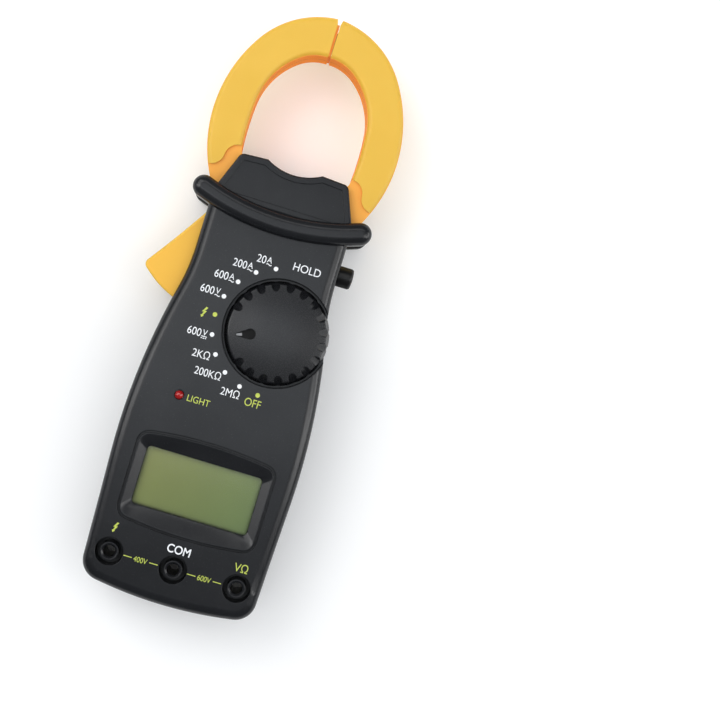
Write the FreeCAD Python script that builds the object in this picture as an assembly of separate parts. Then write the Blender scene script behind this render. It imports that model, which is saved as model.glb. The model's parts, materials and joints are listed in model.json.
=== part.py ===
import FreeCAD, Part
import math
import os

os.makedirs("parts", exist_ok=True)

# Clamp meter lying on its back, in mm. +Z leaves the display face, +Y points to the jaw tips,
# and the origin is the middle of the flat rear face.

# Case heights
FACE_Z = 33.0        # front face
SEAM_Z = 17.0        # plane where the case halves meet
WALL = 2.2           # side walls and rear floor
SKIN = 2.0           # front face thickness
EDGE = 3.6           # rounding of the outer case edges
GUARD_Z = 36.5       # top of the raised finger guard
MOUTH_LOW = 10.2     # lower and upper side of the slot that holds the jaw arms
MOUTH_HIGH = 26.9
MOUTH_Y = 25.5       # case walls stop here, above it the slot is open

# Finger guard: an upward-curving bar
GUARD_Y = 111.15     # centre of its curve
GUARD_R = 80.4
GUARD_HALF = 3.8
GUARD_ANGLE = 20.0

# Jaws
PIVOT_X = 15.2
PIVOT_Y = 28.7
PIN_R = 2.0
HUB_R = 6.5
JAW_LOW = 9.5
JAW_HIGH = 27.5
LEDGE = 1.0          # step from the thick jaw to its thinner arm
JAW_SEAM = 18.5
JAW_WALL = 1.8
CORE_INSET = 3.2
ARM_TURN = 9.0       # half of the opening angle, where knuckle and fork start
LEVER_R = 34.0
TIP_LIP = 0.33       # how far the left tip's lip reaches into the split
RUN = 0.05           # radial clearance of turning fits

# Range knob
KNOB_X = 10.3
KNOB_Y = -4.75
KNOB_R = 16.4        # finger grip at its top
SKIRT_R = 17.9       # finger grip at its foot
WELL_R = 18.6
WELL_FLOOR = 27.2
STEP = 18.0          # angle between switch positions
POINTER = 198.0      # rest direction of the pointer
DOME_R = 130.0       # slight dome of the knob's top

# Display
LCD_Y = -63.4
LCD_W = 20.3
LCD_H = 10.2

# Input jacks
JACK_Y = -91.1
JACK_PITCH = 22.3
JACK_BORE = 2.05
JACK_LIP = 0.6       # lead-in chamfer of the jack mouth
JACK_X = (-JACK_PITCH, 0.0, JACK_PITCH)

# Board and battery
BOARD_LOW = 20.4
BOARD_HIGH = 22.0
BATTERY = (13.25, 48.5, 17.5)
BATTERY_Y = -85.0
BATTERY_Z = 2.4

CASE_SCREWS = ((0.0, 16.5), (-21.5, -13.0), (22.5, -26.0), (11.15, -97.2), (-11.15, -97.2))
BOARD_SCREWS = ((23.0, -42.0), (-23.0, -42.0), (15.8, -83.2), (-15.8, -83.2))

# Hold button
HOLD_Y = 20.4
HOLD_Z = 22.0
HOLD_R = 3.6
HOLD_X = 29.9


def vec(x, y, z=0.0):
    return FreeCAD.Vector(x, y, z)


def turned(v, angle):
    c = math.cos(angle)
    s = math.sin(angle)
    return vec(v.x * c - v.y * s, v.x * s + v.y * c)


def trace(start, steps):
    """Edges of an outline. A step is the next corner, a (through, end) pair for an arc,
    or (end,) for an arc that leaves in the direction the last edge arrived."""
    edges = []
    here = start
    heading = None
    for step in steps:
        if not isinstance(step[0], tuple):
            heading = vec(*step) - vec(*here)
            edges.append(Part.makeLine(vec(*here), vec(*step)))
            here = step
            continue
        end = step[-1]
        if len(step) == 2:
            through = vec(*step[0])
        else:
            chord = vec(*end) - vec(*here)
            cross = heading.x * chord.y - heading.y * chord.x
            bend = math.atan2(cross, heading.dot(chord))
            through = vec(*here) + turned(chord, -bend / 2) * (0.5 / math.cos(bend / 2))
        arc = Part.Arc(vec(*here), through, vec(*end)).toShape()
        edges.append(arc)
        at_end = (arc.valueAt(arc.LastParameter) - vec(*end)).Length < 0.001
        heading = arc.tangentAt(arc.LastParameter) if at_end else arc.tangentAt(arc.FirstParameter) * -1
        here = end
    return edges


def path(start, *steps):
    """Closed outline from its corners and arcs."""
    last = steps[-1]
    end = last[-1] if isinstance(last[0], tuple) else last
    if math.dist(end, start) > 0.001:
        steps = steps + (start,)
    return Part.Wire(trace(start, steps))


def symmetric_path(start, *steps):
    """Closed outline from its right half, which starts and ends at X = 0."""
    half = trace(start, steps)
    other = [edge.mirror(vec(0, 0), vec(1, 0)) for edge in half]
    return Part.Wire(Part.__sortEdges__(half + other))


def slab(wire, low, high):
    face = Part.Face(wire)
    face.translate(vec(0, 0, low))
    return face.extrude(vec(0, 0, high - low))


def inset(wire, distance):
    return wire.makeOffset2D(-distance)


def box(x0, x1, y0, y1, z0, z1):
    return Part.makeBox(x1 - x0, y1 - y0, z1 - z0, vec(x0, y0, z0))


def rod(x, y, z0, z1, radius):
    return Part.makeCylinder(radius, z1 - z0, vec(x, y, z0))


def across(x0, x1, y, z, radius):
    """Cylinder along X."""
    return Part.makeCylinder(radius, x1 - x0, vec(x0, y, z), vec(1, 0, 0))


def tube(x, y, z0, z1, outer, inner):
    return rod(x, y, z0, z1, outer).cut(rod(x, y, z0 - 1, z1 + 1, inner))


def joined(shapes):
    return shapes[0].fuse(list(shapes[1:])).removeSplitter()


def soften(shape, z, radius, x_from=-1000.0, y_from=-1000.0):
    """Round the edges that lie flat at height z and reach past x_from and y_from."""
    flat = [e for e in shape.Edges if abs(e.BoundBox.ZMin - z) < 0.01 and abs(e.BoundBox.ZMax - z) < 0.01]
    flat = [e for e in flat if e.BoundBox.XMax > x_from and e.BoundBox.YMax > y_from]
    return shape.makeFillet(radius, flat)


def mirrored(shape):
    return shape.mirror(vec(0, 0, 0), vec(1, 0, 0))


def at_angle(x, y, radius, degrees):
    a = math.radians(degrees)
    return (x + radius * math.cos(a), y + radius * math.sin(a))


def rounded_box(x0, x1, y0, y1, z0, z1, radius):
    block = box(x0, x1, y0, y1, z0, z1)
    upright = [e for e in block.Edges if e.BoundBox.ZLength > z1 - z0 - 0.01]
    return block.makeFillet(radius, upright)


# ---------------------------------------------------------------- case outlines

def case_path():
    """Waisted body: narrow below the guard, widest at the display."""
    return symmetric_path(
        (0.0, 34.0),
        (24.5, 34.0),
        (24.5, 16.0),
        ((26.2, 0.8),),
        ((31.7, -60.0),),
        ((30.4, -95.0),),
        ((24.27, -102.0),),
        ((0.0, -104.0),),
    )


def guard_bar(low, high):
    """Curved bar with round ends, seen from the front as a shallow smile."""
    a0 = -90.0 - GUARD_ANGLE
    a1 = -90.0 + GUARD_ANGLE
    inner = GUARD_R - GUARD_HALF
    outer = GUARD_R + GUARD_HALF
    right_tip = at_angle(*at_angle(0, GUARD_Y, GUARD_R, a1), GUARD_HALF, a1 + 90.0)
    left_tip = at_angle(*at_angle(0, GUARD_Y, GUARD_R, a0), GUARD_HALF, a0 - 90.0)
    outline = path(
        at_angle(0, GUARD_Y, outer, a0),
        (at_angle(0, GUARD_Y, outer, -90.0), at_angle(0, GUARD_Y, outer, a1)),
        (right_tip, at_angle(0, GUARD_Y, inner, a1)),
        (at_angle(0, GUARD_Y, inner, -90.0), at_angle(0, GUARD_Y, inner, a0)),
        (left_tip, at_angle(0, GUARD_Y, outer, a0)),
    )
    return slab(outline, low, high)


def shield_path():
    """Plate between the guard and the jaw opening, hollowed along its upper edge."""
    return symmetric_path(
        (0.0, 34.5),
        (23.9, 34.5),
        (23.6, 38.4),
        (19.5, 48.9),
        ((17.6, 50.4),),
        (9.6, 50.9),
        ((4.9, 48.95), (0.0, 48.3)),
    )


def lever_slot(low, high):
    """Swept room for the trigger lever through the left wall."""
    sweep = rod(-PIVOT_X, PIVOT_Y, low, high, LEVER_R + 0.35)
    return sweep.common(box(-45, -20, -12, MOUTH_Y + 1, low, high))


def wall_loop(low, high, outer_inset, inner_inset):
    outline = case_path()
    outer = slab(inset(outline, outer_inset), low, high)
    return outer.cut(slab(inset(outline, inner_inset), low - 1, high + 1))


# ---------------------------------------------------------------- front case

def bezel_path():
    """Rounded frame outline around the display, arched above and below."""
    low, high = LCD_Y - 17.2, LCD_Y + 16.8
    return path(
        (-24.4, low + 6.06),
        ((-23.28, low + 3.05), (-20.46, low + 1.51)),
        ((0.0, low), (20.46, low + 1.51)),
        ((23.28, low + 3.05), (24.4, low + 6.06)),
        (24.4, high - 6.06),
        ((23.28, high - 3.05), (20.46, high - 1.51)),
        ((0.0, high), (-20.46, high - 1.51)),
        ((-23.28, high - 3.05), (-24.4, high - 6.06)),
    )


def bezel_groove():
    """Thin line that sets the display frame off from the face."""
    outer = slab(bezel_path(), FACE_Z - 1.0, FACE_Z + 1)
    return outer.cut(slab(inset(bezel_path(), 0.8), FACE_Z - 1, FACE_Z + 2))


def window_path():
    """Display opening with rounded corners."""
    r = 1.7
    k = r * (1 - math.sqrt(0.5))
    return path(
        (-LCD_W, LCD_Y - LCD_H + r),
        ((-LCD_W + k, LCD_Y - LCD_H + k), (-LCD_W + r, LCD_Y - LCD_H)),
        (LCD_W - r, LCD_Y - LCD_H),
        ((LCD_W - k, LCD_Y - LCD_H + k), (LCD_W, LCD_Y - LCD_H + r)),
        (LCD_W, LCD_Y + LCD_H - r),
        ((LCD_W - k, LCD_Y + LCD_H - k), (LCD_W - r, LCD_Y + LCD_H)),
        (-LCD_W + r, LCD_Y + LCD_H),
        ((-LCD_W + k, LCD_Y + LCD_H - k), (-LCD_W, LCD_Y + LCD_H - r)),
    )


def display_bezel():
    """Cut that slopes from the face to the rim of the display opening and drops straight below it."""
    top = inset(bezel_path(), 1.2)
    low = window_path()
    top.translate(vec(0, 0, FACE_Z))
    low.translate(vec(0, 0, 31.5))
    slope = Part.makeLoft([top, low], True, True)
    return slope.fuse(slab(window_path(), 30.3, 31.6))


def front_case():
    outline = case_path()
    envelope = soften(slab(outline, SEAM_Z, FACE_Z), FACE_Z, EDGE)
    room = slab(inset(outline, WALL), SEAM_Z - 1, FACE_Z - SKIN)
    shell = envelope.cut(room)
    shell = shell.cut(wall_loop(SEAM_Z - 1, SEAM_Z + 1.3, 1.1, WALL + 0.5))
    guard = soften(guard_bar(MOUTH_HIGH, GUARD_Z), GUARD_Z, 2.9)
    shield = soften(slab(shield_path(), MOUTH_HIGH, 30.4), 30.4, 0.7)
    panel = slab(inset(shield_path(), 2.2), 30.0, 31.0)
    shield = shield.cut(panel)
    shell = shell.cut(box(-40, 40, MOUTH_Y, 40, SEAM_Z - 1, MOUTH_HIGH))
    shell = shell.cut(lever_slot(SEAM_Z - 1, MOUTH_HIGH))
    inside = []
    for x, y in CASE_SCREWS:
        inside.append(tube(x, y, SEAM_Z, FACE_Z - SKIN, 3.2, 1.5))
    for x, y in BOARD_SCREWS:
        inside.append(tube(x, y, BOARD_HIGH, FACE_Z - SKIN, 2.4, 1.0))
    for side in (-1, 1):
        inside.append(rod(side * PIVOT_X, PIVOT_Y, 26.6, FACE_Z - SKIN, 4.5))
    inside.append(rod(KNOB_X, KNOB_Y, WELL_FLOOR - 2.0, FACE_Z - SKIN, WELL_R + 1.5))
    inside.append(box(-26.2, 26.2, LCD_Y - 18.6, LCD_Y + 18.4, 28.7, FACE_Z - SKIN))
    for x in JACK_X:
        inside.append(rod(x, JACK_Y, BOARD_HIGH + 0.2, FACE_Z - SKIN, 6.2))
    inside = joined(inside).common(slab(inset(outline, WALL - 0.01), SEAM_Z, FACE_Z))
    well_ring = rod(KNOB_X, KNOB_Y, WELL_FLOOR - 2.0, FACE_Z - 0.5, WELL_R + 1.5).common(envelope)
    case = joined([shell, guard, shield, inside, well_ring])
    case = case.cut(rod(KNOB_X, KNOB_Y, WELL_FLOOR, GUARD_Z + 5, WELL_R))
    case = case.cut(rod(KNOB_X, KNOB_Y, WELL_FLOOR - 3, WELL_FLOOR + 1, 4.65 + RUN))
    case = case.cut(bezel_groove()).cut(display_bezel())
    case = case.cut(box(-LCD_W, LCD_W, LCD_Y - LCD_H, LCD_Y + LCD_H, 28, 30.5))
    case = case.cut(box(-22, 22, LCD_Y - 12, LCD_Y + 12, 28, 30.0))
    for x in JACK_X:
        case = case.cut(tube(x, JACK_Y, BOARD_HIGH + 2.5, FACE_Z + 1, 4.8, 3.15))
        case = case.cut(rod(x, JACK_Y, SEAM_Z, 31.1, 2.6))
        case = case.cut(rod(x, JACK_Y, 31.0, FACE_Z + 1, JACK_BORE))
        lip = Part.makeCone(JACK_BORE, JACK_BORE + JACK_LIP, JACK_LIP, vec(x, JACK_Y, FACE_Z - JACK_LIP))
        case = case.cut(lip)
    for side in (-1, 1):
        case = case.cut(rod(side * PIVOT_X, PIVOT_Y, 20, 31.2, PIN_R))
    case = case.cut(rod(-15.1, -34.0, 28, FACE_Z + 1, 1.65))
    case = case.cut(across(20, 30, HOLD_Y, HOLD_Z, HOLD_R + 0.15))
    for k in range(20):
        x, y = at_angle(KNOB_X, KNOB_Y, 11.0, STEP * k)
        case = case.cut(Part.makeCone(0.2, 0.9, 0.6, vec(x, y, WELL_FLOOR - 0.6)))
    return case.removeSplitter()


# ---------------------------------------------------------------- rear case

def cover_plate(grow, low, step, high):
    outer = rounded_box(-16 - grow, 16 + grow, -88 - grow, -23.5 + grow, low, step, 2.0)
    inner = rounded_box(-14.6 - grow, 14.6 + grow, -86.6 - grow, -32 + grow, step, high, 1.5)
    return joined([outer, inner])


def rear_case():
    outline = case_path()
    envelope = soften(slab(outline, 0, SEAM_Z), 0, EDGE)
    shell = envelope.cut(slab(inset(outline, WALL), WALL, SEAM_Z + 1))
    lip = wall_loop(SEAM_Z, SEAM_Z + 1.2, 1.2, WALL)
    guard = soften(guard_bar(1.5, MOUTH_LOW), 1.5, 2.6)
    shield = soften(slab(shield_path(), 6.6, MOUTH_LOW), 6.6, 0.7)
    inside = []
    for x, y in CASE_SCREWS:
        inside.append(rod(x, y, WALL, SEAM_Z, 3.2))
        inside.append(rod(x, y, WALL, 5.2, 4.3))
    for side in (-1, 1):
        inside.append(rod(side * PIVOT_X, PIVOT_Y, WALL, 10.4, 4.5))
    half, length, height = BATTERY
    cage = box(-half - 1.6, half + 1.6, BATTERY_Y - 1.6, BATTERY_Y + length + 7.0, WALL, 14.0)
    cage = cage.cut(box(-half - 0.4, half + 0.4, BATTERY_Y - 0.4, BATTERY_Y + length + 5.8, 0, 15.0))
    inside.append(cage)
    inside.append(rod(0, -27.0, 1.2, 9.0, 3.2))
    inside = joined(inside).common(slab(inset(outline, WALL - 0.01), 1.0, SEAM_Z))
    shell = joined([shell, lip])
    shell = shell.cut(box(-40, 40, MOUTH_Y, 40, MOUTH_LOW, SEAM_Z + 2))
    shell = shell.cut(lever_slot(MOUTH_LOW, SEAM_Z + 2))
    case = joined([shell, guard, shield, inside])
    case = case.cut(cover_plate(0.2, -1, 1.2, 2.3))
    for x, y in CASE_SCREWS:
        case = case.cut(rod(x, y, -1, 3.0, 3.0))
        case = case.cut(rod(x, y, 2, SEAM_Z + 2, 1.6))
    for side in (-1, 1):
        case = case.cut(rod(side * PIVOT_X, PIVOT_Y, 2.6, 12, PIN_R))
    case = case.cut(rod(0, -27.0, 1.0, 8.0, 1.2))
    return case.removeSplitter()


def case_screws():
    screws = []
    for x, y in CASE_SCREWS:
        screw = joined([rod(x, y, 1.0, 3.0, 2.7), rod(x, y, 3.0, 27.0, 1.45)])
        slot = box(x - 1.7, x + 1.7, y - 0.35, y + 0.35, 0.9, 2.0)
        cross = box(x - 0.35, x + 0.35, y - 1.7, y + 1.7, 0.9, 2.0)
        screws.append(screw.cut(slot).cut(cross))
    return Part.makeCompound(screws)


def board_screws():
    screws = []
    for x, y in BOARD_SCREWS:
        screw = joined([rod(x, y, 18.9, BOARD_LOW, 1.9), rod(x, y, BOARD_LOW, 27.0, 0.95)])
        screws.append(screw.cut(box(x - 1.3, x + 1.3, y - 0.3, y + 0.3, 18.8, 19.6)))
    return Part.makeCompound(screws)


def battery_cover():
    plate = cover_plate(0.0, 0.0, 1.1, 2.1)
    for k in range(5):
        plate = plate.cut(box(-7, 7, -84 + 2.4 * k, -82.8 + 2.4 * k, -1, 0.5))
    plate = plate.cut(rod(0, -27.0, -1, 0.8, 2.5))
    return plate.cut(rod(0, -27.0, -1, 2, 1.3))


def cover_screw():
    screw = joined([rod(0, -27.0, 0.1, 0.8, 2.4), rod(0, -27.0, 0.8, 7.0, 1.15)])
    return screw.cut(box(-1.6, 1.6, -27.3, -26.7, 0.0, 0.5))


# ---------------------------------------------------------------- jaws

def jaw_path():
    """Right half jaw from its split face round to the pivot hub and the inner toe."""
    right = at_angle(PIVOT_X, PIVOT_Y, HUB_R, -23.2)
    below = at_angle(PIVOT_X, PIVOT_Y, HUB_R, -100.0)
    left = at_angle(PIVOT_X, PIVOT_Y, HUB_R, 180.0)
    return path(
        (0.42, 90.4),
        (0.5, 102.0),
        (0.95, 103.9),
        ((14.7, 99.4), (24.6, 89.8)),
        ((32.7, 64.4),),
        ((27.2, 40.2),),
        right,
        (below, left),
        (8.7, 36.7),
        (0.3, 36.7),
        (0.3, 47.2),
        (13.5, 47.2),
        ((19.5, 52.7),),
        ((19.5, 69.5),),
        ((9.9, 87.2),),
        ((0.42, 90.4),),
    )


def thick_part():
    """Everything above the S-shaped step that ends the full jaw thickness."""
    limit = path(
        (-1, 53.2),
        (19.6, 53.0),
        ((23.0, 51.6), (24.4, 48.4)),
        ((25.8, 45.3), (28.9, 44.0)),
        (45, 44.0),
        (45, 120),
        (-1, 120),
    )
    body = slab(jaw_path(), JAW_LOW, JAW_HIGH).common(slab(limit, JAW_LOW - 1, JAW_HIGH + 1))
    body = soften(body, JAW_HIGH, 1.7, 1.0, 60.0)
    return soften(body, JAW_LOW, 1.7, 1.0, 60.0)


def core_block(grow):
    """Half ring of the magnetic core, with faces that reach the split plane."""
    ring = slab(inset(jaw_path(), CORE_INSET - grow), 13 - grow, 24 + grow)
    ring = ring.cut(box(-5, 40, 0, 39.9 - grow, 0, 40))
    top = box(0.06, 4.0, 93.9 - grow, 99.6 + grow, 13 - grow, 24 + grow)
    toe = box(0.06, 5.0, 39.9 - grow, 44.0 + grow, 13 - grow, 24 + grow)
    return joined([ring, top, toe])


def jaw_body():
    arm = slab(jaw_path(), JAW_LOW + LEDGE, JAW_HIGH - LEDGE)
    body = joined([thick_part(), arm])
    cavity = slab(inset(jaw_path(), JAW_WALL), 11.7, 25.3)
    cavity = cavity.cut(rod(PIVOT_X, PIVOT_Y, 0, 40, HUB_R + 1.6))
    body = body.cut(cavity).cut(core_block(0.05))
    return body.cut(rod(PIVOT_X, PIVOT_Y, 0, 40, PIN_R + RUN))


def jaw_half(upper):
    if upper:
        return jaw_body().common(box(-5, 60, 0, 120, JAW_SEAM, 40))
    return jaw_body().common(box(-5, 60, 0, 120, 0, JAW_SEAM))


def right_jaw_rear_shell():
    """Carries the fork that takes the other jaw's knuckle."""
    angle = 180.0 + ARM_TURN
    prongs = box(0, 17.4, -4.4, 4.4, 11.0, 15.4)
    prongs = prongs.cut(box(12.6, 20, -2.35, 2.35, 10, 16))
    prongs.rotate(vec(0, 0, 0), vec(0, 0, 1), angle)
    prongs.translate(vec(PIVOT_X, PIVOT_Y, 0))
    prongs = prongs.cut(rod(PIVOT_X, PIVOT_Y, 0, 40, PIN_R + RUN))
    return joined([jaw_half(False), prongs])


def lever_room():
    """Gap in the left hub that takes the lever's own hub and the return spring."""
    hub = rod(PIVOT_X, PIVOT_Y, 15.5, 21.5, HUB_R + 0.3)
    coil = rod(PIVOT_X, PIVOT_Y, 21.4, 24.1, HUB_R + 0.3)
    return joined([hub, coil])


def left_jaw_front_shell():
    """Carries the lip that closes the split between the tips."""
    shell = mirrored(jaw_half(True).cut(lever_room()))
    roof = box(-1.2, TIP_LIP, 90.9, 102.0, 25.4, 26.5)
    return joined([shell, roof, box(-1.2, TIP_LIP, 90.9, 92.4, JAW_SEAM, 26.0)])


def left_jaw_rear_shell():
    """Carries the knuckle that drives the other jaw and the lower part of the tip's lip."""
    arm = joined([box(0, 15.0, -1.2, 1.2, 11.0, 15.4), rod(15.2, 0, 11.0, 15.4, 2.2)])
    arm.rotate(vec(0, 0, 0), vec(0, 0, 1), -ARM_TURN)
    arm.translate(vec(-PIVOT_X, PIVOT_Y, 0))
    arm = arm.cut(rod(-PIVOT_X, PIVOT_Y, 0, 40, PIN_R + RUN))
    shell = mirrored(jaw_half(False).cut(lever_room()))
    return joined([shell, arm, box(-1.2, TIP_LIP, 90.9, 92.4, 11.2, JAW_SEAM)])


def coil():
    outer = slab(inset(jaw_path(), JAW_WALL + 0.15), 11.8, 25.2)
    inner = slab(inset(jaw_path(), CORE_INSET - 0.05), 12.9, 24.1)
    return outer.cut(inner).common(box(10, 60, 57, 83, 0, 40))


def pivot_pins():
    return Part.makeCompound([rod(side * PIVOT_X, PIVOT_Y, 2.7, 31.1, PIN_R) for side in (-1, 1)])


def return_spring():
    turns = []
    for z in (22.1, 22.8, 23.5):
        turns.append(Part.makeTorus(4.4, 0.33, vec(-PIVOT_X, PIVOT_Y, z)))
    for z, angle in ((22.1, 235.0), (23.5, 20.0)):
        leg = Part.makeCylinder(0.28, 5.4, vec(4.4, -0.6, 0), vec(0, 1, 0))
        leg.rotate(vec(0, 0, 0), vec(0, 0, 1), angle)
        leg.translate(vec(-PIVOT_X, PIVOT_Y, z))
        turns.append(leg)
    turns.append(rod(-PIVOT_X - 4.4, PIVOT_Y, 22.1, 23.5, 0.2))
    return joined(turns)


def trigger_lever():
    """Curved-skirt lever on the left hub; its walls hide the case slot at rest."""
    x = -PIVOT_X
    y = PIVOT_Y
    tip = at_angle(x, y, LEVER_R, 227.5)
    end = at_angle(x, y, LEVER_R, 258.0)
    outline = path(
        (-24.4, 28.3),
        ((-31.6, 17.2), (-38.8, 6.9)),
        ((-39.2, 4.9), tip),
        (at_angle(x, y, LEVER_R, 243.0), end),
        (-17.5, 21.3),
        (-22.2, 25.8),
    )
    body = soften(slab(outline, 10.5, 26.5), 26.5, 0.8)
    body = soften(body, 10.5, 0.8)
    hollow = path(
        (-24.0, 25.2),
        (-36.2, 6.2),
        at_angle(x, y, LEVER_R - 2.0, 229.0),
        (at_angle(x, y, LEVER_R - 2.0, 243.0), at_angle(x, y, LEVER_R - 2.0, 262.0)),
        (-14.0, 20.0),
    )
    body = body.cut(slab(hollow, 12.5, 24.5))
    web = path((-15.2, 23.0), (-19.6, 30.3), (-27.5, 22.0), (-24.0, 9.0), (-19.5, 9.0))
    web = slab(web, 15.6, 21.4).cut(rod(x, y, 0, 40, 4.0))
    hub = rod(x, y, 15.6, 21.4, HUB_R)
    lever = joined([body, web, hub])
    grips = [at_angle(x, y, LEVER_R + 0.55, 231.0 + 2.6 * k) for k in range(7)]
    for gx, gy in grips:
        lever = lever.cut(rod(gx, gy, 12.0, 25.0, 1.0))
    return lever.cut(rod(x, y, 0, 40, PIN_R + RUN))


# ---------------------------------------------------------------- range switch

def range_knob():
    """Domed cap flaring to its foot, with finger scoops around the rim and a hollow shaft side."""
    top = GUARD_Z
    dome = Part.makeSphere(DOME_R, vec(0, 0, top - DOME_R), vec(1, 0, 0))
    grip = Part.makeCone(SKIRT_R, KNOB_R, top - 27.0, vec(0, 0, 27.5)).common(dome)
    rim = [e for e in grip.Edges if e.BoundBox.ZMin > 30 and e.BoundBox.DiagonalLength > KNOB_R]
    grip = grip.makeFillet(0.6, rim)
    body = grip.cut(tube(0, 0, 27.0, top - 2.6, 13.0, 6.4))
    for k in range(20):
        spread = abs(k * STEP - POINTER)
        if spread > STEP + 1:
            scoop = Part.makeCylinder(1.45, 10.0, vec(12.7, 0, top + 3.6), vec(0.6, 0, -0.8))
            scoop = scoop.fuse(rod(SKIRT_R + 1.05, 0, 27.0, 32.6, 1.4))
            scoop.rotate(vec(0, 0, 0), vec(0, 0, 1), k * STEP)
            body = body.cut(scoop)
    drop = path((9.0, -1.85), ((7.15, 0.0), (9.0, 1.85)), (13.6, 0.45), ((13.9, 0.0), (13.6, -0.45)))
    drop = slab(drop, top - 1.4, top + 1)
    drop.rotate(vec(0, 0, 0), vec(0, 0, 1), POINTER)
    body = body.cut(drop)
    posts = []
    for angle in (0.0, 180.0):
        px, py = at_angle(0, 0, 11.0, angle)
        posts.append(rod(px, py, 28.6, top - 2.5, 2.1))
    body = joined([body] + posts)
    for angle in (0.0, 180.0):
        px, py = at_angle(0, 0, 11.0, angle)
        body = body.cut(rod(px, py, 27.0, 32.5, 1.35))
    shaft = joined([rod(0, 0, 25.1, 27.6, 4.65), rod(0, 0, 22.2, 25.2, 3.2)])
    shaft = shaft.cut(tube(0, 0, 22.45, 23.15, 4.0, 2.5))
    flat = box(2.4, 4.0, -4, 4, 22.0, 25.1)
    body = joined([body, shaft.cut(flat)])
    body.translate(vec(KNOB_X, KNOB_Y, 0))
    return body


def switch_rotor():
    disc = tube(0, 0, 23.2, 25.1, 13.7, 3.2)
    disc = joined([disc, box(2.4, 3.6, -2.6, 2.6, 23.2, 25.1)])
    for k in range(6):
        hole = rod(10.8, 0, 22, 26, 1.6)
        hole.rotate(vec(0, 0, 0), vec(0, 0, 1), 60 * k + 30)
        disc = disc.cut(hole)
    disc.translate(vec(KNOB_X, KNOB_Y, 0))
    return disc


def rotor_contacts():
    fingers = []
    for k in range(3):
        strip = box(6.2, 13.2, -0.8, 0.8, 22.9, 23.2)
        dots = [rod(r, 0, 22.1, 22.9, 0.55) for r in (7.0, 12.4)]
        finger = joined([strip] + dots)
        finger.rotate(vec(0, 0, 0), vec(0, 0, 1), POINTER + 120 * k)
        finger.translate(vec(KNOB_X, KNOB_Y, 0))
        fingers.append(finger)
    return Part.makeCompound(fingers)


def retaining_ring():
    ring = tube(0, 0, 22.5, 23.1, 4.9, 2.55).cut(box(0, 6, -1.6, 1.6, 22, 24))
    ring.translate(vec(KNOB_X, KNOB_Y, 0))
    return ring


def detent_balls():
    balls = []
    for angle in (0.0, 180.0):
        bx, by = at_angle(KNOB_X, KNOB_Y, 11.0, angle)
        balls.append(Part.makeSphere(1.25, vec(bx, by, WELL_FLOOR + 1.3)))
    return Part.makeCompound(balls)


def detent_springs():
    springs = []
    for angle in (0.0, 180.0):
        sx, sy = at_angle(KNOB_X, KNOB_Y, 11.0, angle)
        rings = [Part.makeTorus(0.95, 0.2, vec(sx, sy, 29.95 + 0.38 * k)) for k in range(7)]
        springs.append(joined(rings))
    return Part.makeCompound(springs)


def range_pads():
    pads = []
    for k in range(10):
        for radius in (7.0, 12.4):
            pad = tube(0, 0, BOARD_HIGH, BOARD_HIGH + 0.05, radius + 0.8, radius - 0.8)
            wedge = path((0, 0), (20, -2.1), (20, 2.1))
            wedge = slab(wedge, BOARD_HIGH - 1, BOARD_HIGH + 1)
            pad = pad.common(wedge)
            pad.rotate(vec(0, 0, 0), vec(0, 0, 1), 108 + STEP * k)
            pad.translate(vec(KNOB_X, KNOB_Y, 0))
            pads.append(pad)
    return Part.makeCompound(pads)


# ---------------------------------------------------------------- electronics

def main_board():
    outline = path(
        (-26.0, -97.5),
        (26.0, -97.5),
        (26.5, -28.0),
        (21.4, 8.0),
        (21.2, 15.0),
        (18.9, 15.0),
        (18.9, 21.0),
        (-9.8, 21.0),
        (-9.8, -7.5),
        (-24.0, -7.5),
        (-26.5, -28.0),
    )
    board = slab(outline, BOARD_LOW, BOARD_HIGH)
    for x, y in CASE_SCREWS:
        board = board.cut(rod(x, y, 20, 23, 3.5))
    for x, y in BOARD_SCREWS:
        board = board.cut(rod(x, y, 20, 23, 1.1))
    for x in JACK_X:
        board = board.cut(rod(x, JACK_Y, 20, 23, 2.65))
    return board


def jack_sleeve(x):
    sleeve = rod(x, JACK_Y, 14.0, 31.1, 2.6).cut(rod(x, JACK_Y, 15.5, 32.0, JACK_BORE))
    collar = tube(x, JACK_Y, BOARD_LOW - 0.8, BOARD_LOW, 3.6, 2.6)
    return joined([sleeve, collar])


def lcd_window():
    return box(-21.8, 21.8, LCD_Y - 11.8, LCD_Y + 11.8, 28.85, 29.95)


def lcd_panel():
    glass = box(-22.6, 22.6, LCD_Y - 13.6, LCD_Y + 13.6, 26.6, 27.6)
    cover = box(-22.6, 22.6, LCD_Y - 11.4, LCD_Y + 11.4, 27.6, 28.5)
    return joined([glass, cover])


def lcd_frame():
    frame = box(-24.2, 24.2, LCD_Y - 15.2, LCD_Y + 15.2, BOARD_HIGH, 28.6)
    frame = frame.cut(box(-22.7, 22.7, LCD_Y - 13.7, LCD_Y + 13.7, 25.8, 30))
    frame = frame.cut(box(-21.0, 21.0, LCD_Y - 13.0, LCD_Y + 13.0, 20, 27))
    return frame


def zebra_strips():
    strips = [box(-19, 19, LCD_Y + s * 12.0 - 0.8, LCD_Y + s * 12.0 + 0.8, BOARD_HIGH, 26.6) for s in (-1, 1)]
    return Part.makeCompound(strips)


def indicator_lamp():
    x = -15.1
    y = -34.0
    lens = Part.makeSphere(1.5, vec(x, y, 32.9))
    parts = [rod(x, y, 27.6, 28.6, 1.9), rod(x, y, 28.6, 32.9, 1.5), lens]
    for s in (-1, 1):
        leg = x + s * 1.27
        parts.append(box(leg - 0.25, leg + 0.25, y - 0.25, y + 0.25, BOARD_HIGH, 27.6))
    return joined(parts)


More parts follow.
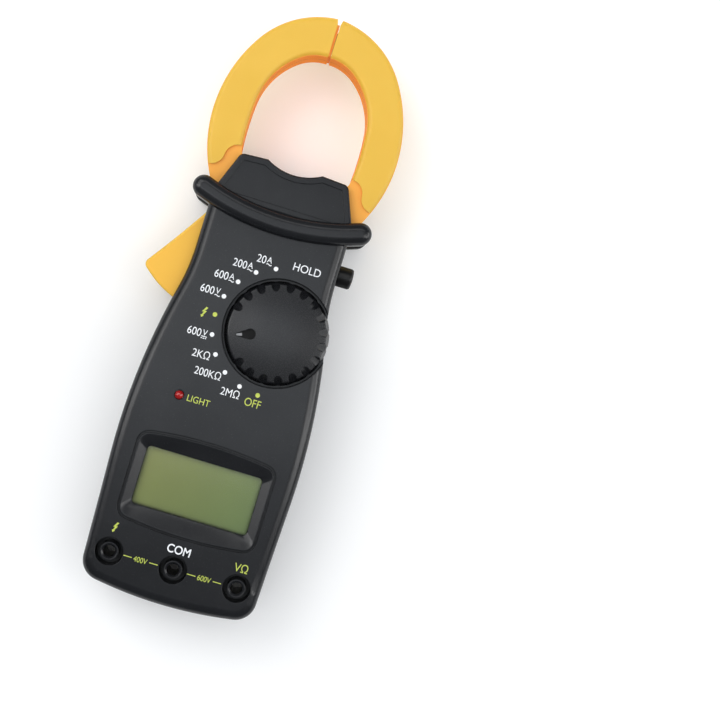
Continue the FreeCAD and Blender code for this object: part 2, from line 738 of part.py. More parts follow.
def controller_chip():
    chip = box(-21, -11, -27.5, -17.5, 18.9, 20.2)
    legs = []
    for k in range(8):
        y = -26.7 + 1.2 * k
        legs.append(box(-22.0, -10.0, y - 0.25, y + 0.25, 20.0, BOARD_LOW))
    return joined([chip] + legs)


def input_resistors():
    parts = []
    for side in (-1, 1):
        body = Part.makeCylinder(1.2, 8.0, vec(side * 11.15 - 4.0, -89.6, 18.9), vec(1, 0, 0))
        lead = Part.makeCylinder(0.3, 10.0, vec(side * 11.15 - 5.0, -89.6, 18.9), vec(1, 0, 0))
        feet = [rod(side * 11.15 + e * 4.8, -89.6, 18.9, BOARD_LOW, 0.3) for e in (-1, 1)]
        parts.append(joined([body, lead] + feet))
    return Part.makeCompound(parts)


def trim_resistors():
    parts = []
    for y in (-28.0, -22.0):
        block = box(-20.0, -16.0, y - 2.0, y + 2.0, BOARD_HIGH, 24.0)
        dial = rod(-18.0, y, 24.0, 24.6, 1.4)
        parts.append(joined([block, dial]).cut(box(-19.0, -17.0, y - 0.2, y + 0.2, 24.3, 25.0)))
    return Part.makeCompound(parts)


def buzzer():
    body = rod(14.0, -14.5, 13.0, BOARD_LOW, 6.0)
    return body.cut(rod(14.0, -14.5, 12.0, 14.5, 1.0))


def battery():
    half, length, height = BATTERY
    block = box(-half, half, BATTERY_Y, BATTERY_Y + length, BATTERY_Z, BATTERY_Z + height)
    along = [e for e in block.Edges if e.BoundBox.YLength > length - 0.1]
    block = block.makeFillet(2.0, along)
    posts = []
    for x, r in ((-6.4, 2.9), (6.4, 3.6)):
        posts.append(Part.makeCylinder(r, 1.6, vec(x, BATTERY_Y + length, BATTERY_Z + 8.75), vec(0, 1, 0)))
    return joined([block] + posts)


def battery_snap():
    y0 = BATTERY_Y + BATTERY[1] + 0.1
    z = BATTERY_Z + 8.75
    snap = rounded_box(-12.2, 12.2, y0, y0 + 4.6, 4.0, 18.0, 0.8)
    for x, r in ((-6.4, 2.95), (6.4, 3.65)):
        snap = snap.cut(Part.makeCylinder(r, 1.7, vec(x, y0 - 0.1, z), vec(0, 1, 0)))
    return snap


def battery_wires():
    wires = []
    y = BATTERY_Y + BATTERY[1] + 2.4
    for x in (-4.0, 4.0):
        wires.append(rod(x, y, 18.0, BOARD_LOW, 0.6))
    return Part.makeCompound(wires)


def hold_switch():
    body = box(13.2, 18.0, 15.6, 20.4, BOARD_HIGH, 25.0)
    return body.cut(box(16.4, 19.0, 17.8, 19.6, 22.7, 24.3))


def hold_plunger():
    return box(17.7, 19.2, 17.85, 19.55, 22.75, 24.25)


def hold_button():
    """Round barrel that slides in the side wall, with a domed end."""
    dome = Part.makeSphere(14.0, vec(HOLD_X - 14.0, HOLD_Y, HOLD_Z))
    cap = across(22.2, HOLD_X, HOLD_Y, HOLD_Z, HOLD_R).common(dome)
    rim = [e for e in cap.Edges if e.BoundBox.XLength < 0.01 and e.BoundBox.XMin > 25]
    cap = cap.makeFillet(0.9, rim)
    flange = across(20.8, 22.2, HOLD_Y, HOLD_Z, HOLD_R + 0.6)
    flange = flange.cut(box(20, 23, HOLD_Y + 3.2, 30, 15, 30))
    stem = box(19.2, 20.8, 17.4, 20.0, 22.4, 24.6)
    return joined([cap, flange, stem])


# ---------------------------------------------------------------- export

PIECES = {
    "front_case": front_case,
    "rear_case": rear_case,
    "case_screws": case_screws,
    "board_screws": board_screws,
    "battery_cover": battery_cover,
    "battery_cover_screw": cover_screw,
    "right_jaw_front_shell": lambda: jaw_half(True),
    "right_jaw_rear_shell": right_jaw_rear_shell,
    "left_jaw_front_shell": left_jaw_front_shell,
    "left_jaw_rear_shell": left_jaw_rear_shell,
    "right_jaw_core": lambda: core_block(0.0),
    "left_jaw_core": lambda: mirrored(core_block(0.0)),
    "right_jaw_coil": coil,
    "left_jaw_coil": lambda: mirrored(coil()),
    "jaw_pivot_pins": pivot_pins,
    "jaw_return_spring": return_spring,
    "trigger_lever": trigger_lever,
    "range_knob": range_knob,
    "switch_rotor": switch_rotor,
    "rotor_contacts": rotor_contacts,
    "rotor_retaining_ring": retaining_ring,
    "detent_balls": detent_balls,
    "detent_springs": detent_springs,
    "range_contact_pads": range_pads,
    "main_board": main_board,
    "left_jack_sleeve": lambda: jack_sleeve(JACK_X[0]),
    "common_jack_sleeve": lambda: jack_sleeve(JACK_X[1]),
    "right_jack_sleeve": lambda: jack_sleeve(JACK_X[2]),
    "lcd_window": lcd_window,
    "lcd_panel": lcd_panel,
    "lcd_frame": lcd_frame,
    "zebra_strips": zebra_strips,
    "indicator_lamp": indicator_lamp,
    "controller_chip": controller_chip,
    "input_resistors": input_resistors,
    "trim_resistors": trim_resistors,
    "buzzer": buzzer,
    "battery": battery,
    "battery_snap": battery_snap,
    "battery_wires": battery_wires,
    "hold_switch": hold_switch,
    "hold_plunger": hold_plunger,
    "hold_button": hold_button,
}

for name, make in PIECES.items():
    make().exportStep("parts/" + name + ".step")
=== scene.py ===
import json
import math
import bpy
import bmesh
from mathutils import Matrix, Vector


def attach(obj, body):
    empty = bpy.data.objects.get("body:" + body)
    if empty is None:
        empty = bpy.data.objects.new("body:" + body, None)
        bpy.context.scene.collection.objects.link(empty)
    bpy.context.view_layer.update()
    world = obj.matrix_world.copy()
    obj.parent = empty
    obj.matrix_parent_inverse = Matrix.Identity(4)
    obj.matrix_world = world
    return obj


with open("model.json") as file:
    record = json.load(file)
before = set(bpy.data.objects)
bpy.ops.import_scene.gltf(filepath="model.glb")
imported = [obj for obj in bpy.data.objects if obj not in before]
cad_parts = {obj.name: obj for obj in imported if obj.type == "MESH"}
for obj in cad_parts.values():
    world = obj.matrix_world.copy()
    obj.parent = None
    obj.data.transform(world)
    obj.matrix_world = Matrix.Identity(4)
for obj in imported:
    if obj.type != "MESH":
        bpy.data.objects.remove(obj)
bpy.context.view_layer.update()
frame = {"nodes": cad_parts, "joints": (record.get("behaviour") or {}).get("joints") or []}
nodes = frame["nodes"]
joints = {joint["name"]: joint for joint in frame["joints"]}

MM = 0.001                 # metres in a millimetre; the sizes and places below are in mm
FACE = 33.0                # height of the front face
CASE_SEAM = 17.0           # height where the front and rear case halves meet
JAW_SEAM = 18.5            # height where the front and rear shells of the jaws meet
LEDGE_FROM, LEDGE_TO = 26.6, 27.2    # heights just above the jaws' lower ledge
JAW_MIDDLE = 66.0          # middle of the jaw opening, along the meter
DISPLAY_MIDDLE = -63.4     # middle of the display opening, along the meter
DISPLAY_WIDE, DISPLAY_TALL = 20.3, 10.2    # half sizes of the display opening
INK = 0.04                 # thickness of the printed legend
DIAL = [v / MM for v in joints["range_knob_turn"]["pos_m"][:2]]    # knob's axis on the face
POINTER_REST = 198.0       # direction of the pointer at rest, degrees from +X
FIRST_MARK, MARK_STEP = 107.7, 18.0    # directions of the range marks from the dial, degrees
MARK_RING = 21.8           # distance of the range marks from the dial
GRAIN_DEPTH = 0.05         # depth of the fine moulded grain

# ---------------------------------------------------------------- shader building blocks


def feed(tree, node, inputs):
    """Give a node's inputs plain values, colours or the outputs of other nodes."""
    for key, value in inputs.items():
        socket = node.inputs[key]
        if isinstance(value, bpy.types.NodeSocket):
            tree.links.new(value, socket)
        elif socket.type == "RGBA":
            socket.default_value = (*value, 1.0)
        else:
            socket.default_value = value


def add_node(tree, kind, inputs=None, **settings):
    """New shader node with its own settings, such as a Math node's operation, and its inputs fed."""
    node = tree.nodes.new("ShaderNode" + kind)
    for key, value in settings.items():
        setattr(node, key, value)
    feed(tree, node, inputs or {})
    return node


def new_material(name):
    """Material with one Principled shader; returns it with its node tree and that shader."""
    m = bpy.data.materials.new(name)
    m.use_nodes = True
    m.node_tree.nodes.clear()
    bsdf = add_node(m.node_tree, "BsdfPrincipled")
    add_node(m.node_tree, "OutputMaterial", {"Surface": bsdf.outputs[0]})
    return m, m.node_tree, bsdf


def first_of(tree, kind):
    return next(node for node in tree.nodes if node.type == kind)


def grey(level):
    return (level, level, level)


def position(tree):
    """Where the shaded point is, in metres in the frame at rest."""
    return add_node(tree, "TexCoord").outputs["Object"]


def along(tree, vector, axis):
    """One coordinate, X, Y or Z, of a vector."""
    return add_node(tree, "SeparateXYZ", {0: vector}).outputs[axis]


def calculate(tree, operation, *values):
    return add_node(tree, "Math", dict(enumerate(values)), operation=operation).outputs[0]


def slide(tree, value, low, high, start=0.0, end=1.0):
    """Number that goes evenly from start, where value is low, to end, where value is high."""
    span = {"Value": value, "From Min": low, "From Max": high, "To Min": start, "To Max": end}
    return add_node(tree, "MapRange", span).outputs[0]


def ramp(tree, value, *stops):
    """Colour that changes with value through (value, colour) stops."""
    node = add_node(tree, "ValToRGB", {0: value})
    first, last = node.color_ramp.elements
    first.position, last.position = stops[0][0], stops[-1][0]
    first.color, last.color = (*stops[0][1], 1.0), (*stops[-1][1], 1.0)
    for place, colour in stops[1:-1]:
        node.color_ramp.elements.new(place).color = (*colour, 1.0)
    return node.outputs[0]


def mix(tree, factor, a, b, how="MIX"):
    inputs = {"Factor": factor, "A": a, "B": b}
    return add_node(tree, "Mix", inputs, data_type="RGBA", blend_type=how).outputs["Result"]


def product(tree, colour, *others):
    """Colours multiplied together."""
    for other in others:
        colour = mix(tree, 1.0, colour, other, "MULTIPLY")
    return colour


def noise(tree, scale, detail=3.0):
    """Soft random pattern; scale is the number of patches per metre."""
    inputs = {"Vector": position(tree), "Scale": scale, "Detail": detail}
    return add_node(tree, "TexNoise", inputs).outputs["Fac"]


def grain_normal(tree, height, strength):
    """Surface direction disturbed by fine grain."""
    inputs = {"Height": height, "Strength": strength, "Distance": GRAIN_DEPTH * MM}
    return add_node(tree, "Bump", inputs).outputs[0]


# ---------------------------------------------------------------- materials


def finish(name, dark, light, rough, metal=0.0, grain=2500.0, bump=0.1, patch=60.0, coat=0.0, spec=0.5):
    """Base look: colour drifts between two shades, fine grain gives the surface its tooth."""
    m, tree, bsdf = new_material(name)
    fine = noise(tree, grain, 2.0)
    feed(tree, bsdf, {
        "Base Color": ramp(tree, noise(tree, patch), (0.35, dark), (0.65, light)),
        "Roughness": slide(tree, fine, 0.0, 1.0, rough - 0.06, rough + 0.06),
        "Metallic": metal,
        "Coat Weight": coat,
        "Specular IOR Level": spec,
        "Normal": grain_normal(tree, fine, bump),
    })
    return m


def round_edges(m, radius):
    """Soften the look of sharp moulded edges under the fine grain."""
    tree = m.node_tree
    edge = add_node(tree, "Bevel", {"Radius": radius * MM}, samples=4)
    feed(tree, first_of(tree, "BUMP"), {"Normal": edge.outputs[0]})


def calm_grazing(m, spec):
    """Moulded plastic is finely textured, so it mirrors little where it is seen edge-on."""
    tree = m.node_tree
    view = add_node(tree, "LayerWeight", {"Blend": 0.5})
    level = ramp(tree, view.outputs["Facing"], (0.25, grey(spec)), (0.85, grey(0.04)))
    feed(tree, first_of(tree, "BSDF_PRINCIPLED"), {"Specular IOR Level": level})


def part_line(m, height, dark, half_width=0.13):
    """Thin dark line where two moulded halves meet at the given height."""
    tree = m.node_tree
    bsdf = first_of(tree, "BSDF_PRINCIPLED")
    plain = bsdf.inputs["Base Color"].links[0].from_socket
    near = calculate(tree, "COMPARE", along(tree, position(tree), "Z"), height * MM, half_width * MM)
    feed(tree, bsdf, {"Base Color": mix(tree, near, plain, dark)})


def moulded_black(name, dark, light, rough, grain, bump, spec, edge):
    """Black plastic of the case and the controls, with softened edges."""
    m = finish(name, dark, light, rough, grain=grain, bump=bump, spec=spec)
    calm_grazing(m, spec)
    round_edges(m, edge)
    return m


def jaw_material(name, ledge_painted_shade, opening_wall_painted_light):
    """Yellow moulding with painted shade: orange on upward faces of the lower ledge, a painted orange bounce
    on the walls of the jaw opening and paler painted light on the outer walls.
    """
    m, tree, bsdf = new_material(name)
    place = position(tree)
    tilt = along(tree, add_node(tree, "NewGeometry").outputs["Normal"], "Z")
    upright = calculate(tree, "ABSOLUTE", tilt)

    top = ramp(tree, noise(tree, 45), (0.35, (0.735, 0.445, 0.047)), (0.65, (0.765, 0.47, 0.057)))
    # Painted shade: upward faces of the lower ledge take the ledge's painted orange shade.
    low = slide(tree, along(tree, place, "Z"), LEDGE_TO * MM, LEDGE_FROM * MM)
    facing_up = ramp(tree, tilt, (0.86, grey(0)), (0.96, grey(1)))
    flat = mix(tree, calculate(tree, "MULTIPLY", low, facing_up), top, ledge_painted_shade)

    # Painted light on the side walls: an orange bounce on the walls of the jaw opening, paler yellow on the
    # outer walls.
    away = add_node(tree, "VectorMath", {0: place, 1: (0.0, JAW_MIDDLE * MM, 0.0)}, operation="SUBTRACT")
    normal = add_node(tree, "TexCoord").outputs["Normal"]
    spread = add_node(tree, "VectorMath", {0: away.outputs[0], 1: normal}, operation="DOT_PRODUCT")
    outside = calculate(tree, "GREATER_THAN", spread.outputs["Value"], 2.0 * MM)
    painted_wall_light = mix(tree, outside, opening_wall_painted_light, (0.83, 0.56, 0.12))
    sideways = ramp(tree, upright, (0.0, grey(1)), (0.55, grey(0)))

    feed(tree, bsdf, {
        "Base Color": mix(tree, sideways, flat, painted_wall_light),
        "Specular IOR Level": ramp(tree, upright, (0.0, grey(0.02)), (0.8, grey(0.3))),
        "Roughness": 0.42,
        "Subsurface Weight": 0.12,
        "Subsurface Radius": (2.0 * MM, 1.2 * MM, 0.4 * MM),
        "Subsurface Scale": 1.0,
        "Normal": grain_normal(tree, noise(tree, 2500, 2.0), 0.15),
    })
    return m


def window_material():
    """Clear sheet: mostly see-through, with a thin reflection."""
    m, tree, bsdf = new_material("window_clear")
    tree.nodes.remove(bsdf)
    rough = ramp(tree, noise(tree, 60), (0.3, grey(0.13)), (0.7, grey(0.14)))
    see = add_node(tree, "BsdfTransparent", {"Color": (0.93, 0.95, 0.9)})
    gloss = add_node(tree, "BsdfGlossy", {"Roughness": rough})
    mirror = add_node(tree, "Fresnel", {"IOR": 1.45})
    both = add_node(tree, "MixShader", {0: mirror.outputs[0], 1: see.outputs[0], 2: gloss.outputs[0]})
    feed(tree, first_of(tree, "OUTPUT_MATERIAL"), {"Surface": both.outputs[0]})
    return m


def rim_shade(tree, value, middle, reach):
    """Painted shade: white in the middle, and dark in the last millimetre before the edge of the display
    opening, where the recess shades the display.
    """
    offset = calculate(tree, "ABSOLUTE", calculate(tree, "SUBTRACT", value, middle * MM))
    edge = slide(tree, offset, (reach - 1.0) * MM, (reach + 0.1) * MM)
    return ramp(tree, edge, (0.0, grey(1)), (0.5, grey(0.72)), (1.0, grey(0.1)))


def lcd_material():
    """Grey-green reflective display, browner at the upper left, with painted shade along the rim of its
    opening.
    """
    m, tree, bsdf = new_material("lcd_glass")
    x = along(tree, position(tree), "X")
    y = along(tree, position(tree), "Y")
    rightward = slide(tree, x, -20.0 * MM, 20.0 * MM)
    upward = slide(tree, y, (DISPLAY_MIDDLE - 11.6) * MM, (DISPLAY_MIDDLE + 11.4) * MM)
    green = ramp(tree, rightward,
                 (0.0, (0.355, 0.37, 0.135)), (0.5, (0.30, 0.342, 0.13)), (1.0, (0.262, 0.34, 0.145)))
    warm = ramp(tree, upward, (0.0, (0.93, 0.97, 1.0)), (1.0, (1.06, 1.02, 0.94)))
    cloudy = ramp(tree, noise(tree, 120, 1.0), (0.3, grey(0.985)), (0.7, grey(1.01)))
    # Painted shade along the rim of the display opening.
    sides = rim_shade(tree, x, 0.0, DISPLAY_WIDE)
    ends = rim_shade(tree, y, DISPLAY_MIDDLE, DISPLAY_TALL)
    feed(tree, bsdf, {"Base Color": product(tree, green, warm, cloudy, sides, ends), "Roughness": 0.45})
    return m


def lamp_material():
    """Tinted red resin."""
    m, tree, bsdf = new_material("lamp_red")
    red = ramp(tree, noise(tree, 500), (0.3, (0.42, 0.01, 0.012)), (0.7, (0.6, 0.02, 0.02)))
    feed(tree, bsdf, {"Base Color": red, "Roughness": 0.12, "Transmission Weight": 0.3, "Coat Weight": 0.6})
    return m


case_black = moulded_black("case_black", (0.0100, 0.0108, 0.0126), (0.0128, 0.0137, 0.0156),
                           0.25, grain=3200, bump=0.16, spec=0.35, edge=0.35)
part_line(case_black, CASE_SEAM, grey(0.002))
knob_black = moulded_black("knob_black", (0.0105, 0.0112, 0.0128), (0.0134, 0.0142, 0.0158),
                           0.27, grain=3200, bump=0.18, spec=0.4, edge=0.3)
button_black = moulded_black("button_black", (0.006, 0.006, 0.0065), (0.010, 0.010, 0.011),
                             0.36, grain=2600, bump=0.15, spec=0.35, edge=0.2)
# Last two colours: painted shade for the lower ledge and painted bounce light for the walls of the jaw
# opening.
jaw_yellow = jaw_material("jaw_yellow", (0.90, 0.40, 0.055), (1.0, 0.34, 0.012))
part_line(jaw_yellow, JAW_SEAM, (0.30, 0.10, 0.008))
# Last two colours: painted shade for the trigger's lower ledge and painted light for its side walls.
trigger_yellow = jaw_material("trigger_yellow", (0.85, 0.475, 0.05), (0.80, 0.45, 0.06))
clear_plastic = window_material()
lcd_glass = lcd_material()
lamp_red = lamp_material()

steel = finish("steel", (0.42, 0.42, 0.43), (0.58, 0.58, 0.6), 0.28, 1.0, 900, 0.1)
brass = finish("brass", (0.62, 0.44, 0.17), (0.78, 0.6, 0.28), 0.25, 1.0, 900, 0.08)
# Painted shade: the jack sleeves' metal is darkened to stand for the shade down their deep bores.
sleeve_metal_painted_shade = finish("sleeve_metal_painted_shade", (0.055, 0.053, 0.05), (0.10, 0.097, 0.09), 0.34, 1.0, 900, 0.08)
nickel = finish("nickel", (0.6, 0.6, 0.61), (0.75, 0.75, 0.76), 0.16, 1.0, 900, 0.05)
copper = finish("copper", (0.45, 0.15, 0.06), (0.62, 0.28, 0.12), 0.35, 1.0, 1800, 0.4)
iron = finish("core_iron", (0.16, 0.16, 0.17), (0.26, 0.26, 0.28), 0.45, 0.9, 1500, 0.3)
board = finish("board_green", (0.012, 0.10, 0.035), (0.03, 0.17, 0.06), 0.35, 0.0, 700, 0.15, coat=0.3)
frame_white = finish("frame_white", (0.6, 0.6, 0.57), (0.72, 0.72, 0.69), 0.5, grain=1500, bump=0.15)
rubber = finish("zebra_rubber", (0.3, 0.06, 0.16), (0.4, 0.1, 0.22), 0.7, grain=2500, bump=0.3)
chip = finish("chip_black", (0.012, 0.012, 0.013), (0.02, 0.02, 0.022), 0.55, grain=4000, bump=0.3)
can = finish("battery_can", (0.03, 0.035, 0.05), (0.05, 0.055, 0.075), 0.3, 0.3, 900, 0.05, coat=0.3)
red_wire = finish("wire_red", (0.4, 0.012, 0.012), (0.55, 0.03, 0.03), 0.4, grain=1500, bump=0.1)
blue = finish("trim_blue", (0.02, 0.07, 0.3), (0.04, 0.12, 0.45), 0.35, grain=1500, bump=0.1)
rotor = finish("rotor_white", (0.62, 0.62, 0.58), (0.74, 0.74, 0.7), 0.45, grain=1500, bump=0.1)
# Painted shade and painted highlight for the knob's pointer recess and tip.
pointer_painted_shade = finish("pointer_painted_shade", (0.004, 0.004, 0.0045), (0.006, 0.006, 0.0065),
                       0.6, grain=2600, bump=0.15, spec=0.2)
pointer_painted_highlight = finish("pointer_painted_highlight", (0.2, 0.205, 0.215), (0.26, 0.265, 0.275), 0.5, grain=2600, bump=0.15)
ink_white = finish("ink_white", (0.78, 0.8, 0.83), (0.86, 0.88, 0.9), 0.55, grain=3000, bump=0.2, patch=900)
ink_lime = finish("ink_lime", (0.44, 0.53, 0.06), (0.55, 0.62, 0.10), 0.55, grain=3000, bump=0.2, patch=900)

LOOKS = {
    case_black: ["front_case", "rear_case", "battery_cover"],
    knob_black: ["range_knob"],
    button_black: ["hold_button", "hold_plunger", "hold_switch"],
    steel: ["case_screws", "board_screws", "battery_cover_screw", "jaw_pivot_pins", "jaw_return_spring",
            "rotor_retaining_ring", "detent_springs"],
    brass: ["rotor_contacts", "range_contact_pads"],
    sleeve_metal_painted_shade: ["left_jack_sleeve", "common_jack_sleeve", "right_jack_sleeve"],
    nickel: ["detent_balls"],
    copper: ["left_jaw_coil", "right_jaw_coil"],
    iron: ["left_jaw_core", "right_jaw_core"],
    board: ["main_board"],
    clear_plastic: ["lcd_window"],
    lcd_glass: ["lcd_panel"],
    frame_white: ["lcd_frame"],
    rubber: ["zebra_strips"],
    lamp_red: ["indicator_lamp"],
    chip: ["controller_chip", "buzzer", "battery_snap"],
    can: ["battery"],
    red_wire: ["battery_wires"],
    blue: ["input_resistors", "trim_resistors"],
    rotor: ["switch_rotor"],
    jaw_yellow: ["left_jaw_front_shell", "left_jaw_rear_shell",
                 "right_jaw_front_shell", "right_jaw_rear_shell"],
    trigger_yellow: ["trigger_lever"],
}
for look, names in LOOKS.items():
    for name in names:
        nodes[name].data.materials.clear()
        nodes[name].data.materials.append(look)

# ---------------------------------------------------------------- flat shapes for the legend and the pointer


def add_prism(bm, points, low=FACE, high=FACE + INK):
    """Flat raised shape from its corners."""
    bottom = [bm.verts.new((x * MM, y * MM, low * MM)) for x, y in points]
    top = [bm.verts.new((x * MM, y * MM, high * MM)) for x, y in points]
    bm.faces.new(top)
    bm.faces.new(bottom[::-1])
    for i in range(len(points)):
        bm.faces.new((bottom[i - 1], bottom[i], top[i], top[i - 1]))


def arc(x, y, radius, angles):
    """Points round a centre at the given angles in degrees."""
    turns = [math.radians(a) for a in angles]
    return [(x + radius * math.cos(a), y + radius * math.sin(a)) for a in turns]


def add_dot(bm, x, y, radius):
    sides = 28
    add_prism(bm, arc(x, y, radius, [360 * k / sides for k in range(sides)]))


def add_bar(bm, x0, x1, y, thick):
    low, high = y - thick / 2, y + thick / 2
    add_prism(bm, [(x0, low), (x1, low), (x1, high), (x0, high)])


def add_wave(bm, x, y, width, thick):
    """Sign for alternating current: one period of a sine."""
    steps = 14
    shares = [k / steps for k in range(steps + 1)]
    line = [(x + width * (t - 0.5), y + 0.18 * math.sin(math.tau * t)) for t in shares]
    low = [(px, py - thick / 2) for px, py in line]
    high = [(px, py + thick / 2) for px, py in line]
    add_prism(bm, low + high[::-1])


def add_bolt(bm, x, y, size):
    """Lightning sign, size above and below its centre."""
    upper = [(0.08, 0.22), (0.5, 0.9), (0.15, 1.0), (-0.42, 0.02), (-0.08, 0.06)]
    lower = [(-0.3, -0.55), (-0.5, -0.5), (-0.3, -1.0), (0.12, -0.62), (-0.06, -0.6), (0.42, 0.26)]
    add_prism(bm, [(x + size * a, y + size * b) for a, b in upper + lower])


def add_text(bm, text, x, y, height, squeeze=0.8, weight=0.0):
    """Letters centred on x, y with the given capital height, laid on the front face."""
    capital_share = 0.72
    letters = bpy.data.curves.new("letters", "FONT")
    letters.body = text
    letters.size = height / capital_share * MM
    letters.align_x = "CENTER"
    letters.extrude = INK / 2 * MM
    letters.offset = weight * MM
    ob = bpy.data.objects.new("letters", letters)
    bpy.context.scene.collection.objects.link(ob)
    bpy.context.view_layer.update()
    mesh = bpy.data.meshes.new_from_object(ob)
    corner = Vector((x, y - height / 2, FACE + INK / 2)) * MM
    for v in mesh.vertices:
        v.co = Vector((v.co.x * squeeze, v.co.y, v.co.z)) + corner
    bm.from_mesh(mesh)
    bpy.data.objects.remove(ob)
    bpy.data.curves.remove(letters)
    bpy.data.meshes.remove(mesh)


def add_range(bm, number, unit, x, y, direct=False):
    """Range label: number, smaller raised unit letter and the sign for AC or DC under it."""
    unit_x = x + 0.86 * len(number) + 0.05
    add_text(bm, number, x - 1.0, y, 2.75, 0.86)
    add_text(bm, unit, unit_x, y + 0.35, 2.1, 0.9)
    if direct:
        add_bar(bm, unit_x - 1.0, unit_x + 1.0, y - 1.0, 0.28)
        for dash in range(3):
            start = unit_x - 1.0 + 0.72 * dash
            add_bar(bm, start, start + 0.5, y - 1.6, 0.28)
    else:
        add_wave(bm, unit_x + 0.1, y - 1.3, 1.9, 0.32)


def mesh_piece(name, bm, material, body):
    """Turn the drawn shapes into a piece that moves with a CAD body."""
    mesh = bpy.data.meshes.new(name)
    bm.to_mesh(mesh)
    bm.free()
    mesh.materials.append(material)
    ob = bpy.data.objects.new(name, mesh)
    bpy.context.scene.collection.objects.link(ob)
    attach(ob, body)


# ---------------------------------------------------------------- printed legend


def draw_marks(white, lime):
    """A dot for each of the ten switch positions; the fifth and the last are lime."""
    for k in range(10):
        a = math.radians(FIRST_MARK + MARK_STEP * k)
        x, y = DIAL[0] + MARK_RING * math.cos(a), DIAL[1] + MARK_RING * math.sin(a)
        add_dot(lime if k in (4, 9) else white, x, y, 0.78)


def draw_white():
    """Range numbers, HOLD and COM."""
    bm = bmesh.new()
    add_range(bm, "20", "A", -0.9, 18.0)
    add_range(bm, "200", "A", -7.4, 14.4)
    add_range(bm, "600", "A", -12.3, 9.0)
    add_range(bm, "600", "V", -15.4, 3.0)
    add_range(bm, "600", "V", -15.5, -11.8, direct=True)
    add_text(bm, "2KΩ", -12.0, -18.7, 2.7, 0.88)
    add_text(bm, "200KΩ", -8.0, -24.2, 2.7, 0.86)
    add_text(bm, "2MΩ", 1.1, -28.4, 2.7, 0.88)
    add_text(bm, "HOLD", 13.8, 18.8, 2.75, 0.93)
    add_text(bm, "COM", 0.1, -84.1, 2.9, 0.9, 0.05)
    return bm


def draw_lime():
    """OFF, LIGHT, the volt and ohm letters, the bolts and the ratings between the jacks."""
    bm = bmesh.new()
    add_text(bm, "OFF", 9.3, -29.5, 2.8, 0.85)
    add_text(bm, "LIGHT", -8.4, -34.0, 2.3, 0.9)
    add_text(bm, "VΩ", 22.0, -84.0, 2.9, 0.9)
    add_bolt(bm, -15.2, -4.9, 1.9)
    add_bolt(bm, -22.6, -82.8, 1.8)
    jack_line = -91.0
    for x0, x1 in ((-17.3, -14.4), (-8.3, -5.3), (4.9, 7.9), (14.0, 16.9)):
        add_bar(bm, x0, x1, jack_line, 0.28)
    add_text(bm, "400V", -11.4, jack_line, 1.9, 0.85)
    add_text(bm, "600V", 10.9, jack_line, 1.9, 0.85)
    return bm


white = draw_white()
lime = draw_lime()
draw_marks(white, lime)
mesh_piece("legend_white", white, ink_white, "case")
mesh_piece("legend_lime", lime, ink_lime, "case")

# ---------------------------------------------------------------- pointer: painted shade in its recess and a painted highlight on its tip


def on_knob(points):
    """Turn points drawn along +X from the knob's centre to the rest direction of the pointer."""
    a = math.radians(POINTER_REST)
    c, s = math.cos(a), math.sin(a)
    return [(DIAL[0] + x * c - y * s, DIAL[1] + x * s + y * c) for x, y in points]


def pointer_piece(name, points, low, high, material):
    """Flat sheet on the pointer, drawn along +X, that turns with the knob, for the pointer's painted shade
    and painted highlight.
    """
    bm = bmesh.new()
    add_prism(bm, on_knob(points), low, high)
    mesh_piece(name, bm, material, "range_selector")


drop = arc(9.0, 0.0, 1.8, range(75, 286, 15)) + [(12.6, -0.72), (12.6, 0.72)]
stripe = [(11.7, -0.5), (13.5, -0.3), (13.75, 0.0), (13.5, 0.3), (11.7, 0.5)]
# Painted shade: a dark sheet in the pointer's recess, where only shade falls; painted highlight: a grey strip
# on the tip, where its sloping floor catches the light.
pointer_piece("painted_shade_in_pointer_recess", drop, 35.05, 35.16, pointer_painted_shade)
pointer_piece("painted_highlight_on_pointer", stripe, 35.05, 35.75, pointer_painted_highlight)

# ---------------------------------------------------------------- stage, lights, camera


def floor_material():
    """White diffusing sheet, faintly lit from below like a light table, most around the jaws."""
    m, tree, bsdf = new_material("paper_floor")
    feed(tree, bsdf, {
        "Base Color": ramp(tree, noise(tree, 6), (0.3, (0.90, 0.905, 0.905)), (0.7, (0.92, 0.925, 0.925))),
        "Roughness": 0.9,
        "Emission Color": (1.0, 1.0, 1.0),
        "Emission Strength": slide(tree, along(tree, position(tree), "Y"), -10.0 * MM, 60.0 * MM, 0.07, 0.17),
    })
    return m


def lay_floor():
    """Plain floor just under the meter's back."""
    bm = bmesh.new()
    bmesh.ops.create_grid(bm, x_segments=1, y_segments=1, size=1.6)
    mesh = bpy.data.meshes.new("floor")
    bm.to_mesh(mesh)
    bm.free()
    mesh.materials.append(floor_material())
    floor = bpy.data.objects.new("floor", mesh)
    floor.location.z = -0.3 * MM
    bpy.context.scene.collection.objects.link(floor)


def softbox(name, place, size, power, target=(0, 0, 0), shines=True, lights=True, tint=(1.0, 1.0, 1.0)):
    """Area light in metres and watts; it can leave no highlight, or leave only the highlight."""
    lamp = bpy.data.lights.new(name, "AREA")
    lamp.shape = "RECTANGLE"
    lamp.size, lamp.size_y = size
    lamp.energy = power
    lamp.color = tint
    ob = bpy.data.objects.new(name, lamp)
    ob.location = place
    ob.rotation_euler = (Vector(target) - Vector(place)).to_track_quat("-Z", "Y").to_euler()
    ob.visible_glossy = shines
    ob.visible_diffuse = lights
    bpy.context.scene.collection.objects.link(ob)


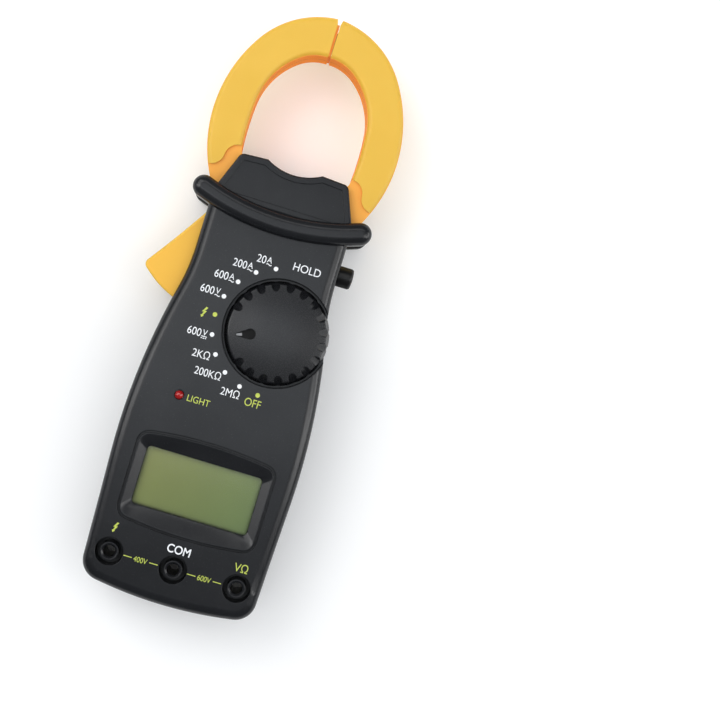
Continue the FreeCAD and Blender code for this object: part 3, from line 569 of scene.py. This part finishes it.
def set_lights():
    """Soft light from above and the sides, and narrow boxes seen only as highlights on the plastic."""
    softbox("key", (-0.55, 0.3, 0.75), (0.6, 0.6), 3.0)
    softbox("fill", (0.6, 0.05, 0.6), (0.35, 0.9), 1.3)
    softbox("ceiling", (-0.1, 0.1, 1.3), (1.4, 1.4), 5.4, shines=False)
    softbox("overhead", (-0.03, -0.005, 1.0), (0.34, 0.25), 0.51,
            target=(-0.03, -0.005, 0), lights=False, tint=(0.88, 0.94, 1.0))
    softbox("glow_left", (-0.30, 0.0, 0.95), (0.18, 0.4), 0.45, lights=False)
    softbox("glow_right", (0.30, 0.0, 0.95), (0.12, 0.5), 0.22, lights=False)
    softbox("strip_left", (-0.55, -0.05, 0.52), (0.14, 0.6), 1.3, lights=False)
    softbox("strip_right", (0.55, -0.05, 0.52), (0.14, 0.6), 1.1, lights=False)
    softbox("strip_back", (0.0, 0.42, 0.80), (0.6, 0.16), 0.75, lights=False)
    softbox("rim_right", (0.6, 0.15, 0.19), (0.35, 0.16), 1.0, target=(0, 0, 0.03), lights=False)


def set_world():
    """Even pale surroundings, dimmer where they are seen in reflections."""
    world = bpy.data.worlds.new("studio")
    bpy.context.scene.world = world
    world.use_nodes = True
    tree = world.node_tree
    mirrored = add_node(tree, "LightPath").outputs["Is Glossy Ray"]
    strength = slide(tree, mirrored, 0.0, 1.0, 0.64, 0.08)
    feed(tree, tree.nodes["Background"], {"Color": (0.95, 0.97, 1.0), "Strength": strength})


def set_camera():
    """Looks straight down on the meter, turned so that it leans to the right as in the photo."""
    camera = bpy.data.cameras.new("camera")
    camera.sensor_width = 36.0
    camera.lens = 88.58
    camera.clip_start = 10.0 * MM
    ob = bpy.data.objects.new("camera", camera)
    ob.location = Vector((5.4, -5.6, 631.3)) * MM
    ob.rotation_euler = [math.radians(a) for a in (-0.70, -3.159, 16.98)]
    bpy.context.scene.collection.objects.link(ob)
    bpy.context.scene.camera = ob
    bpy.context.scene.view_settings.view_transform = "Standard"


lay_floor()
set_lights()
set_world()
set_camera()
